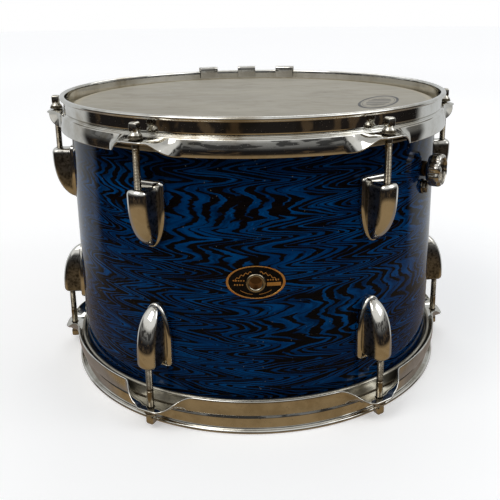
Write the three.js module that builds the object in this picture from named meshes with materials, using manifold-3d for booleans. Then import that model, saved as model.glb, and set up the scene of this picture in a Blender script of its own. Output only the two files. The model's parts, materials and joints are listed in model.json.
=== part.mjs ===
// A mounted tom-tom: a covered ply shell with a batter head above and a resonant head below, each held by
// a pressed triple-flanged hoop, tension rods and bullet lugs, with a vent, a badge and an inside damper.
// Millimetres, +Z up towards the batter head. The origin is the centre of the plane that the bottom rim
// rests on. Azimuths are measured from -Y, the badge side, towards +X.
import * as THREE from "three";
import { mergeVertices } from "three/addons/utils/BufferGeometryUtils.js";
import Module from "manifold-3d";

const wasm = await Module();
wasm.setup();

// ---------------------------------------------------------------- driving dimensions
const GAP = 0.3; // between two pieces that touch
const SHELL_RADIUS = 164.8; // over the covering
const SHELL_DEPTH = 228.6;
const RIM_STAND = 9.5; // rim plane beyond the end of the shell
const PLY_THICKNESS = 5.6;
const WRAP_THICKNESS = 0.6;
const WRAP_SETBACK = 4; // covering stops short of the shell's end
const BEARING_INSET = 3.1; // ridge that the head sits on, in from the outside of the plies
const BEARING_SLOPE = 2.5; // fall from the ridge to the outside of the plies
const RING_HEIGHT = 32;
const RING_THICKNESS = 5.6;

const FILM_THICKNESS = 0.5;
const COLLAR_CLEARANCE = 0.35; // head collar outside the covering
const COLLAR_DEPTH = 15.5; // from the film down to the end of its collar
const COLLAR_FALL = 5; // film rolls over the bearing edge within this depth
const FLESH_HOOP_WIDTH = 3.6;
const FLESH_HOOP_HEIGHT = 9.8;
const FLESH_CLEARANCE = 0.35; // flesh hoop off the head's collar
const FLESH_PLAY = 0.8; // flesh hoop off the hoop's skirt

const HOOP_SHEET = 1.6;
const WALL_CLEARANCE = 0.95; // head collar to the inside of the hoop wall at its foot
const WALL_LEAN = 1.6; // wall radius grows by this towards the rim
const WALL_FOOT = 14.4; // depth below the rim of the wall's foot
const LEDGE_FALL = 1.6;
const RIM_BEAD_REACH = 3; // rolled rim beyond the top of the wall
const RIM_BEAD_HEIGHT = 3.3;
const SKIRT_HEIGHT = 12.4;
const SKIRT_ANGLE = 84; // degrees down from level
const EAR_MARGIN = 6.5; // ear beyond the rod's axis
const EAR_ANGLE = 5;
const EAR_HALF_WIDTH = 6.5; // flat part of the ear
const EAR_SHOULDER = 2.5; // rounded corner beyond it
const SCALLOP_LENGTH = 16; // ear twists into the skirt over this length

const RODS = 6; // each end
const FIRST_ROD = 32.5; // azimuth in degrees
const ROD_RADIUS = 2.75;
const ROD_CLEARANCE = 0.65; // hole radius over rod radius
const ROD_OFFSET = 15.7; // rod axis outside the covering
const ROD_PROUD = 6.84; // rod's tip beyond its nut
const COLLAR_RADIUS = 5.7; // rod's collar with its washers
const COLLAR_HEIGHT = 3.6;
const HEAD_SQUARE = 6.4;
const HEAD_HEIGHT = 8.2;

const LUG_START = 49.2; // depth below the rim of the lug's hoop end
const LUG_LENGTH = 52;
const LUG_HALF_WIDTH = 13;
const LUG_FLANGE = 4.6;
const LUG_CORNER = 4;
const LUG_STRAIGHT = 20; // length before the flange begins to round off
const NOSE_STEP = 3.6; // nose begins this far along the flange
const NOSE_STRAIGHT = 24;
const NOSE_TIP = 1; // nose ends this far short of the flange's tip
const LUG_WALL = 1.8;
const NUT_LENGTH = 14;
const NUT_WALL = 1.3;
const NUT_CLEARANCE = 0.55; // inside, round the rod
const NUT_PLAY = 0.8; // outside, in the lug
const TIP_PLAY = 0.36; // cavity beyond the rod's tip

const BADGE_WIDTH = 44;
const BADGE_HEIGHT = 26;
const BADGE_THICKNESS = 0.9;
const VENT_RADIUS = 7.3;
const VENT_BORE = 4.9;
const VENT_WALL = 1;
const VENT_LIP = 1.5;

const MUFFLER_AZIMUTH = 57.5;
const BOLT_SPACING = 2.4; // between the bush and the bolt below it
const KNOB_RADIUS = 13.5;
const KNOB_THICKNESS = 11;
const KNOB_CLEARANCE = 0.4; // back of the knob off the bush
const KNOB_FLUTES = 8;
const FLUTE_DEPTH = 1.1;
const SHAFT_RADIUS = 3;
const BUSH_RADIUS = 6.4;
const BUSH_HEIGHT = 4.9;
const BUSH_NECK = 4.8;
const BOLT_SHANK = 2.4;
const BOLT_RADIUS = 6.2;
const BOLT_HEIGHT = 4.6;
const BRACKET_SHEET = 2;
const BRACKET_HALF_WIDTH = 11;
const BRACKET_MARGIN = 7.5; // bracket's sheet beyond the bolt and the pivot's eye
const BRACKET_TOP_GAP = 1.8; // bracket below the upper reinforcement ring
const PIVOT_RADIUS = 1.6;
const PIVOT_WALL = 1.5;
const PIVOT_STAND = 7; // pivot axis in from the bracket plate
const CAM_DISTANCE = 16; // cam centre in from the pivot axis
const CAM_THICKNESS = 4;
const CAM_RADIUS = 4.2; // smallest
const CAM_TURN = 270; // degrees of knob travel
const ARM_TURN = 12.5; // degrees that the arm rises through over that travel
const ARM_HALF_WIDTH = 6;
const ARM_SHEET = 1.6;
const RISER_OFFSET = 7; // arm's riser out from the pad's centre
const PAD_RADIUS = 17;
const PAD_THICKNESS = 7;
const PAD_DISTANCE = 34; // pad centre in from the pivot axis
const PAD_PLATE_RADIUS = 11;

const CLIPS = 3;
const CLIP_SPACING = 15; // degrees
const CLIP_WIDTH = 20;
const CLIP_SHEET = 1.2;
const CLIP_RISE = 4.4; // above the rim
const CLIP_OUTER_LEG = 6;
const CLIP_INNER_LEG = 7.4;

const SIDES = 48; // facets round the large rings
const SMALL_SIDES = 12;

// ---------------------------------------------------------------- derived sizes
const HEIGHT = SHELL_DEPTH + 2 * RIM_STAND;
const PLY_OUTER = SHELL_RADIUS - WRAP_THICKNESS - GAP;
const PLY_INNER = PLY_OUTER - PLY_THICKNESS;
const RING_OUTER = PLY_INNER - GAP;
const RIDGE_RADIUS = PLY_OUTER - BEARING_INSET;
const FILM_DEPTH = RIM_STAND - GAP - FILM_THICKNESS; // top of the film below the rim
const COLLAR_INNER = SHELL_RADIUS + COLLAR_CLEARANCE;
const COLLAR_OUTER = COLLAR_INNER + FILM_THICKNESS;
const FLESH_INNER = COLLAR_OUTER + FLESH_CLEARANCE;
const FLESH_OUTER = FLESH_INNER + FLESH_HOOP_WIDTH;
const WALL_FOOT_RADIUS = COLLAR_OUTER + WALL_CLEARANCE + HOOP_SHEET;
const WALL_TOP_RADIUS = WALL_FOOT_RADIUS + WALL_LEAN;
const LEDGE_RADIUS = FLESH_OUTER + FLESH_PLAY + HOOP_SHEET;
const LEDGE_DEPTH = WALL_FOOT + LEDGE_FALL;
const FLESH_DEPTH = LEDGE_DEPTH + HOOP_SHEET + GAP;
const ROD_CIRCLE = SHELL_RADIUS + ROD_OFFSET;
const EAR_REACH = ROD_CIRCLE - LEDGE_RADIUS + EAR_MARGIN; // from the ledge's edge
const ROD_HOLE = ROD_RADIUS + ROD_CLEARANCE;
const EAR_DEPTH = LEDGE_DEPTH + (ROD_CIRCLE - LEDGE_RADIUS) * Math.tan(rad(EAR_ANGLE)); // at the rod
const SEAT_RADIUS = SHELL_RADIUS + GAP; // backs of the fittings on the shell
const NUT_RADIUS = ROD_RADIUS + NUT_CLEARANCE + NUT_WALL;
const NOSE_HALF_WIDTH = NUT_RADIUS + NUT_PLAY + LUG_WALL;
const NOSE_REACH = ROD_OFFSET - 2 * GAP + NOSE_HALF_WIDTH;
const CAVITY_START = NOSE_STEP + LUG_WALL;
const CAVITY_LENGTH = GAP + NUT_LENGTH + ROD_PROUD + TIP_PLAY;
const NUT_START = LUG_START + CAVITY_START + GAP; // depth below the rim
const VENT_DEPTH = HEIGHT / 2;
const EYE_INNER = PIVOT_RADIUS + GAP; // hole in the damper's arm for its pivot pin
const EYE_OUTER = EYE_INNER + PIVOT_WALL;
const CAM_LIFT = CAM_DISTANCE * Math.tan(rad(ARM_TURN));
const PIVOT_RISE = CAM_RADIUS + CAM_LIFT + 2 * GAP + ARM_SHEET / 2; // pivot above the shaft
const BRACKET_TOP = HEIGHT - RIM_STAND - RING_HEIGHT - BRACKET_TOP_GAP;
const PIVOT_Z = BRACKET_TOP - EYE_OUTER - 2;
const SHAFT_Z = PIVOT_Z - PIVOT_RISE;
const BOLT_Z = SHAFT_Z - BUSH_RADIUS - BOLT_RADIUS - BOLT_SPACING;

function rad(degrees) {
  return (degrees * Math.PI) / 180;
}

// ---------------------------------------------------------------- solid helpers
function solid(geometry) {
  const bare = geometry.clone();
  for (const name of ["normal", "uv"]) bare.deleteAttribute(name);
  const merged = mergeVertices(bare, 1e-3);
  const mesh = { numProp: 3, vertProperties: merged.attributes.position.array };
  return new wasm.Manifold(new wasm.Mesh({ ...mesh, triVerts: new Uint32Array(merged.index.array) }));
}

function geometryOf(manifold) {
  const { numVert, vertProperties, triVerts } = manifold.getMesh();
  const geometry = new THREE.BufferGeometry();
  geometry.setAttribute("position", new THREE.BufferAttribute(vertProperties.slice(0, 3 * numVert), 3));
  geometry.setIndex(new THREE.BufferAttribute(triVerts, 1));
  geometry.computeVertexNormals();
  return geometry;
}

function join(first, ...others) {
  return geometryOf(others.reduce((sum, next) => sum.add(solid(next)), solid(first)));
}

function cut(body, ...tools) {
  return geometryOf(tools.reduce((rest, tool) => rest.subtract(solid(tool)), solid(body)));
}

// A solid of revolution about Z from [radius, z] points, closed on the axis or on itself.
function turned(points, sides = SMALL_SIDES) {
  const area = points.reduce((sum, [r, z], i) => {
    const [nextR, nextZ] = points[(i + 1) % points.length];
    return sum + r * nextZ - nextR * z;
  }, 0);
  const ring = area < 0 ? [...points].reverse() : [...points];
  if (ring.every(([r]) => r > 0)) ring.push(ring[0]);
  else while (ring[0][0] > 0 || ring.at(-1)[0] > 0) ring.push(ring.shift());
  const outline = ring.map(([r, z]) => new THREE.Vector2(r, z));
  return new THREE.LatheGeometry(outline, sides).rotateX(Math.PI / 2);
}

// A bar of round or ring section along the outward direction, between two radii from the drum's axis.
function outwardBar(radius, from, to, z, sides = SMALL_SIDES) {
  return turned([[0, from], [radius, from], [radius, to], [0, to]], sides)
    .rotateX(Math.PI / 2)
    .translate(0, 0, z);
}

// A plate drawn in the local X-Z plane, with its back at one radius and its front at another.
function plate(shape, back, front, curveSegments = 6) {
  return new THREE.ExtrudeGeometry(shape, { depth: front - back, bevelEnabled: false, curveSegments })
    .rotateX(Math.PI / 2)
    .translate(0, -back, 0);
}

// A strip bent in the local outward-Z plane: its outline as [radius, z] points, and its width along X.
function strip(points, width) {
  const shape = new THREE.Shape(points.map(([r, z]) => new THREE.Vector2(-r, z)));
  return new THREE.ExtrudeGeometry(shape, { depth: width, bevelEnabled: false })
    .translate(0, 0, -width / 2)
    .applyMatrix4(new THREE.Matrix4().set(0, 0, 1, 0, 1, 0, 0, 0, 0, 1, 0, 0, 0, 0, 0, 1));
}

// A closed surface through rings of points. The rings close on each other, or have flat caps at both ends.
function skin(rings, endless) {
  const count = rings[0].length;
  const index = [];
  const at = (ring, i) => (ring % rings.length) * count + (i % count);
  for (let ring = 0; ring < rings.length - (endless ? 0 : 1); ring++)
    for (let i = 0; i < count; i++) {
      index.push(at(ring, i), at(ring, i + 1), at(ring + 1, i));
      index.push(at(ring, i + 1), at(ring + 1, i + 1), at(ring + 1, i));
    }
  if (!endless)
    for (let i = 1; i < count - 1; i++) {
      index.push(at(0, 0), at(0, i + 1), at(0, i));
      index.push(at(rings.length - 1, 0), at(rings.length - 1, i), at(rings.length - 1, i + 1));
    }
  const geometry = new THREE.BufferGeometry();
  const position = new Float32Array(rings.flat().flatMap((point) => point.toArray()));
  geometry.setAttribute("position", new THREE.BufferAttribute(position, 3));
  geometry.setIndex(index);
  return solid(geometry).volume() < 0 ? flipped(geometry) : geometry;
}

function flipped(geometry) {
  const order = geometry.index.array.slice();
  for (let i = 0; i < order.length; i += 3) [order[i + 1], order[i + 2]] = [order[i + 2], order[i + 1]];
  return geometry.setIndex(new THREE.BufferAttribute(order, 1));
}

// Geometry made for the lower end, with z as depth from the rim, set at the upper or the lower end.
function atEnd(geometry, upper) {
  if (!upper) return geometry;
  const merged = mergeVertices(geometry.index ? geometry.toNonIndexed() : geometry, 1e-4);
  return flipped(merged).scale(1, 1, -1).translate(0, 0, HEIGHT);
}

// ---------------------------------------------------------------- the part's tree
const part = new THREE.Group();

const finish = {
  chrome: { color: 0xb9b4a8, metalness: 1, roughness: 0.18 },
  steel: { color: 0x8a857b, metalness: 1, roughness: 0.4 },
  aluminium: { color: 0xb8b4a9, metalness: 1, roughness: 0.35 },
  brass: { color: 0x9a7b3c, metalness: 1, roughness: 0.35 },
  wrap: { color: 0x0a2448, metalness: 0, roughness: 0.12 },
  wood: { color: 0x9a7044, metalness: 0, roughness: 0.6 },
  film: { color: 0x9d9786, metalness: 0, roughness: 0.6 },
  badge: { color: 0x14130f, metalness: 0.3, roughness: 0.3 },
  bronze: { color: 0x2e2418, metalness: 1, roughness: 0.45 },
  felt: { color: 0xd6d0be, metalness: 0, roughness: 0.95 },
};

function add(name, geometry, material, azimuth = 0) {
  const mesh = new THREE.Mesh(geometry, new THREE.MeshStandardMaterial(finish[material]));
  mesh.name = name;
  mesh.rotation.z = rad(azimuth);
  part.add(mesh);
}

// Geometry of a fitting at one azimuth, turned into the drum's frame for cutting a ring.
function turnedTo(geometry, azimuth) {
  return geometry.clone().rotateZ(rad(azimuth));
}

// ---------------------------------------------------------------- shell
function addShell() {
  const end = RIM_STAND;
  const low = [
    [PLY_OUTER, end + BEARING_SLOPE],
    [RIDGE_RADIUS, end],
    [PLY_INNER, end + BEARING_SLOPE],
  ];
  const high = low.map(([r, z]) => [r, HEIGHT - z]).reverse();
  const wrapEnd = end + WRAP_SETBACK;
  const wrapInner = SHELL_RADIUS - WRAP_THICKNESS;
  const wrap = [
    [wrapInner, wrapEnd],
    [SHELL_RADIUS, wrapEnd],
    [SHELL_RADIUS, HEIGHT - wrapEnd],
    [wrapInner, HEIGHT - wrapEnd],
  ];
  const inside = PLY_INNER - 4 * GAP;
  const outside = SHELL_RADIUS + GAP;
  const hole = (radius, z, azimuth) => turnedTo(outwardBar(radius, inside, outside, z), azimuth);
  const holes = [
    hole(VENT_BORE + VENT_WALL + GAP, VENT_DEPTH, 0),
    hole(BUSH_NECK + GAP, SHAFT_Z, MUFFLER_AZIMUTH),
    hole(BOLT_SHANK + GAP, BOLT_Z, MUFFLER_AZIMUTH),
  ];
  add("shell_plies", cut(turned([...low, ...high], SIDES), ...holes), "wood");
  add("shell_wrap", cut(turned(wrap, SIDES), ...holes), "wrap");
  for (const upper of [true, false]) {
    const start = end + BEARING_SLOPE + 1;
    const ring = [
      [RING_OUTER, start],
      [RING_OUTER, end + RING_HEIGHT],
      [RING_OUTER - RING_THICKNESS, end + RING_HEIGHT],
      [RING_OUTER - RING_THICKNESS, start + RING_THICKNESS * 0.6],
    ];
    add((upper ? "upper" : "lower") + "_reinforcement_ring", atEnd(turned(ring, SIDES), upper), "wood");
  }
}

// ---------------------------------------------------------------- heads
function addHead(name, upper) {
  const roll = COLLAR_OUTER - RIDGE_RADIUS;
  const outer = [
    [0, FILM_DEPTH],
    [RIDGE_RADIUS, FILM_DEPTH],
    [RIDGE_RADIUS + 0.76 * roll, FILM_DEPTH + 0.38 * COLLAR_FALL],
    [COLLAR_OUTER, FILM_DEPTH + COLLAR_FALL],
    [COLLAR_OUTER, FILM_DEPTH + COLLAR_DEPTH],
  ];
  const inner = [
    [COLLAR_INNER, FILM_DEPTH + COLLAR_DEPTH],
    [COLLAR_INNER, FILM_DEPTH + COLLAR_FALL + 0.4 * FILM_THICKNESS],
    [RIDGE_RADIUS + 0.68 * roll, FILM_DEPTH + 0.38 * COLLAR_FALL + 0.8 * FILM_THICKNESS],
    [RIDGE_RADIUS - 0.4 * FILM_THICKNESS, FILM_DEPTH + FILM_THICKNESS],
    [0, FILM_DEPTH + FILM_THICKNESS],
  ];
  add(name + "_head", atEnd(turned([...outer, ...inner], SIDES), upper), "film");
  const flesh = [
    [FLESH_INNER, FLESH_DEPTH],
    [FLESH_OUTER, FLESH_DEPTH],
    [FLESH_OUTER, FLESH_DEPTH + FLESH_HOOP_HEIGHT],
    [FLESH_INNER, FLESH_DEPTH + FLESH_HOOP_HEIGHT],
  ];
  add(name + "_flesh_hoop", atEnd(turned(flesh, SIDES), upper), "aluminium");
}

// ---------------------------------------------------------------- hoops
// The hoop's section at one distance along the ledge's edge from the nearest rod: [radius, depth] points.
function hoopSection(distance) {
  const shoulder = THREE.MathUtils.smoothstep(distance, EAR_HALF_WIDTH, EAR_HALF_WIDTH + 2 * EAR_SHOULDER);
  const scallopStart = EAR_HALF_WIDTH + EAR_SHOULDER;
  const twist = THREE.MathUtils.smoothstep(distance, scallopStart, scallopStart + SCALLOP_LENGTH);
  const angle = rad(THREE.MathUtils.lerp(EAR_ANGLE, SKIRT_ANGLE, twist));
  const reach = THREE.MathUtils.lerp(EAR_REACH, SKIRT_HEIGHT, shoulder);
  const foot = new THREE.Vector2(WALL_FOOT_RADIUS, WALL_FOOT);
  const edge = new THREE.Vector2(LEDGE_RADIUS, LEDGE_DEPTH);
  const top = new THREE.Vector2(WALL_TOP_RADIUS, RIM_BEAD_HEIGHT + 0.8);
  const underside = (from, to) => {
    const along = to.clone().sub(from).normalize();
    return new THREE.Vector2(-along.y, along.x);
  };
  const mitre = (corner, a, b) =>
    corner.clone().addScaledVector(a.clone().add(b), HOOP_SHEET / (1 + a.dot(b)));
  const tip = edge.clone().add(new THREE.Vector2(Math.cos(angle), Math.sin(angle)).multiplyScalar(reach));
  const wallIn = underside(top, foot);
  const ledgeIn = underside(foot, edge);
  const flangeIn = underside(edge, tip);
  const beadRadius = WALL_TOP_RADIUS + RIM_BEAD_REACH;
  const wallInner = WALL_TOP_RADIUS - HOOP_SHEET;
  return [
    top.toArray(),
    [beadRadius - 1, RIM_BEAD_HEIGHT],
    [beadRadius, RIM_BEAD_HEIGHT / 2],
    [beadRadius - 1, 0],
    [wallInner + 1.8, 0],
    [wallInner, 1.6],
    mitre(foot, wallIn, ledgeIn).toArray(),
    mitre(edge, ledgeIn, flangeIn).toArray(),
    tip.clone().addScaledVector(flangeIn, HOOP_SHEET).toArray(),
    tip.toArray(),
    edge.toArray(),
    foot.toArray(),
  ];
}

function addHoop(name, upper) {
  const sector = 360 / RODS;
  const degreesPerMm = 180 / Math.PI / LEDGE_RADIUS;
  const scallop = EAR_HALF_WIDTH + EAR_SHOULDER;
  const thirds = [1 / 3, 2 / 3, 1];
  const near = [0, EAR_HALF_WIDTH, scallop, ...thirds.map((t) => scallop + SCALLOP_LENGTH * t)];
  const farStart = near.at(-1) * degreesPerMm;
  const far = thirds.map((t) => farStart + (sector / 2 - farStart) * t);
  const half = [...near.map((mm) => mm * degreesPerMm), ...far];
  const offsets = [...half.slice(1, -1).reverse().map((a) => -a), ...half];
  const rings = [];
  const holes = [];
  for (let rod = 0; rod < RODS; rod++) {
    const centre = FIRST_ROD + rod * sector;
    for (const offset of offsets) {
      const azimuth = rad(centre + offset);
      const section = hoopSection(Math.abs(offset) / degreesPerMm);
      rings.push(
        section.map(([r, z]) => new THREE.Vector3(r * Math.sin(azimuth), -r * Math.cos(azimuth), z)),
      );
    }
    const [top, bottom] = [WALL_FOOT, 2 * WALL_FOOT];
    const hole = turned([[0, top], [ROD_HOLE, top], [ROD_HOLE, bottom], [0, bottom]]);
    holes.push(turnedTo(hole.translate(0, -ROD_CIRCLE, 0), centre));
  }
  add(name + "_hoop", atEnd(cut(skin(rings, true), ...holes), upper), "chrome");
}

// ---------------------------------------------------------------- rods and lugs
function rodGeometry() {
  const seat = EAR_DEPTH - GAP - COLLAR_RADIUS * Math.tan(rad(EAR_ANGLE));
  const top = seat - COLLAR_HEIGHT;
  const tip = NUT_START + NUT_LENGTH + ROD_PROUD;
  const body = turned([
    [0, top],
    [COLLAR_RADIUS, top + 1],
    [COLLAR_RADIUS, seat],
    [ROD_RADIUS, seat],
    [ROD_RADIUS, tip - 1],
    [ROD_RADIUS - 1, tip],
    [0, tip],
  ], 8);
  const head = new THREE.BoxGeometry(HEAD_SQUARE, HEAD_SQUARE, HEAD_HEIGHT + 1);
  head.translate(0, 0, top - (HEAD_HEIGHT - 1) / 2);
  return join(body, head).translate(0, -ROD_CIRCLE, 0);
}

function lugOutline() {
  const shape = new THREE.Shape();
  const w = LUG_HALF_WIDTH;
  shape.moveTo(-w + LUG_CORNER, 0);
  shape.lineTo(w - LUG_CORNER, 0);
  shape.lineTo(w - 1, 1);
  shape.lineTo(w, LUG_CORNER);
  shape.lineTo(w, LUG_STRAIGHT);
  shape.absellipse(0, LUG_STRAIGHT, w, LUG_LENGTH - LUG_STRAIGHT, 0, Math.PI, false);
  shape.lineTo(-w, LUG_CORNER);
  shape.lineTo(-w + 1, 1);
  return shape;
}

// A U section on the shell, across the lug at a distance along it: straight sides and a round front.
function uSection(halfWidth, back, reach, along, arcSteps) {
  const point = (x, out) => new THREE.Vector3(x, -SEAT_RADIUS - out, LUG_START + along);
  const arc = Array.from({ length: arcSteps + 1 }, (_, i) => {
    const angle = (Math.PI * i) / arcSteps;
    return point(-halfWidth * Math.cos(angle), reach - halfWidth + halfWidth * Math.sin(angle));
  });
  return [point(-halfWidth, back), ...arc, point(halfWidth, back)];
}

// The nose of a lug stays full for a while and then falls to the tip on an ellipse.
function noseGeometry() {
  const taper = LUG_LENGTH - NOSE_TIP - NOSE_STRAIGHT;
  const stations = [NOSE_STEP, ...[0, 0.45, 0.75, 0.92, 0.99].map((t) => NOSE_STRAIGHT + taper * t)];
  const rings = stations.map((along) => {
    const fullness = Math.sqrt(1 - Math.max(0, (along - NOSE_STRAIGHT) / taper) ** 2);
    return uSection(NOSE_HALF_WIDTH * fullness, 0, NOSE_REACH * fullness, along, 4);
  });
  return skin(rings, false);
}

function lugGeometry() {
  const flange = plate(lugOutline(), SEAT_RADIUS, SEAT_RADIUS + LUG_FLANGE).translate(0, 0, LUG_START);
  const cavityEnds = [CAVITY_START, CAVITY_START + CAVITY_LENGTH];
  const [halfWidth, reach] = [NOSE_HALF_WIDTH - LUG_WALL, NOSE_REACH - LUG_WALL];
  const cavity = skin(cavityEnds.map((along) => uSection(halfWidth, -GAP, reach, along, 6)), false);
  const [top, bottom] = [LUG_START, LUG_START + CAVITY_START + 1];
  const hole = turned([[0, top], [ROD_HOLE, top], [ROD_HOLE, bottom], [0, bottom]], 8);
  return cut(join(flange, noseGeometry()), cavity, hole.translate(0, -ROD_CIRCLE, 0));
}

function nutGeometry() {
  const inner = ROD_RADIUS + NUT_CLEARANCE;
  const ring = [
    [inner, NUT_START],
    [NUT_RADIUS, NUT_START],
    [NUT_RADIUS, NUT_START + NUT_LENGTH],
    [inner, NUT_START + NUT_LENGTH],
  ];
  return turned(ring, 8).translate(0, -ROD_CIRCLE, 0);
}

function addTensioning() {
  const [lug, rod, nut] = [lugGeometry(), rodGeometry(), nutGeometry()];
  for (const upper of [true, false])
    for (let i = 0; i < RODS; i++) {
      const place = (upper ? "upper_" : "lower_") + (i + 1);
      const azimuth = FIRST_ROD + (i * 360) / RODS;
      add("lug_casing_" + place, atEnd(lug, upper), "chrome", azimuth);
      add("tension_rod_" + place, atEnd(rod, upper), "steel", azimuth);
      add("swivel_nut_" + place, atEnd(nut, upper), "brass", azimuth);
    }
}

// ---------------------------------------------------------------- badge and vent
function addBadge() {
  const oval = new THREE.Shape();
  oval.absellipse(0, VENT_DEPTH, BADGE_WIDTH / 2, BADGE_HEIGHT / 2, 0, 2 * Math.PI, false);
  const blank = plate(oval, 0, 2 * SHELL_RADIUS, 9);
  const shellOf = (outer, inner) => {
    const [low, high] = [VENT_DEPTH - BADGE_HEIGHT, VENT_DEPTH + BADGE_HEIGHT];
    return turned([[inner, low], [outer, low], [outer, high], [inner, high]], SIDES * 2);
  };
  const back = SHELL_RADIUS + GAP;
  const bent = solid(shellOf(back + BADGE_THICKNESS, back)).intersect(solid(blank));
  const hole = outwardBar(VENT_BORE + VENT_WALL + GAP, SHELL_RADIUS - 1, SHELL_RADIUS + 5, VENT_DEPTH);
  add("badge", cut(geometryOf(bent), hole), "badge");
  const lipBack = back + BADGE_THICKNESS + GAP;
  const neckEnd = PLY_INNER - 1.5;
  const grommet = turned([
    [VENT_BORE, neckEnd],
    [VENT_BORE + VENT_WALL, neckEnd],
    [VENT_BORE + VENT_WALL, lipBack],
    [VENT_RADIUS, lipBack],
    [VENT_RADIUS - 0.9, lipBack + VENT_LIP],
    [VENT_BORE, lipBack + VENT_LIP],
  ]);
  add("vent_grommet", grommet.rotateX(Math.PI / 2).translate(0, 0, VENT_DEPTH), "chrome");
}

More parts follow.
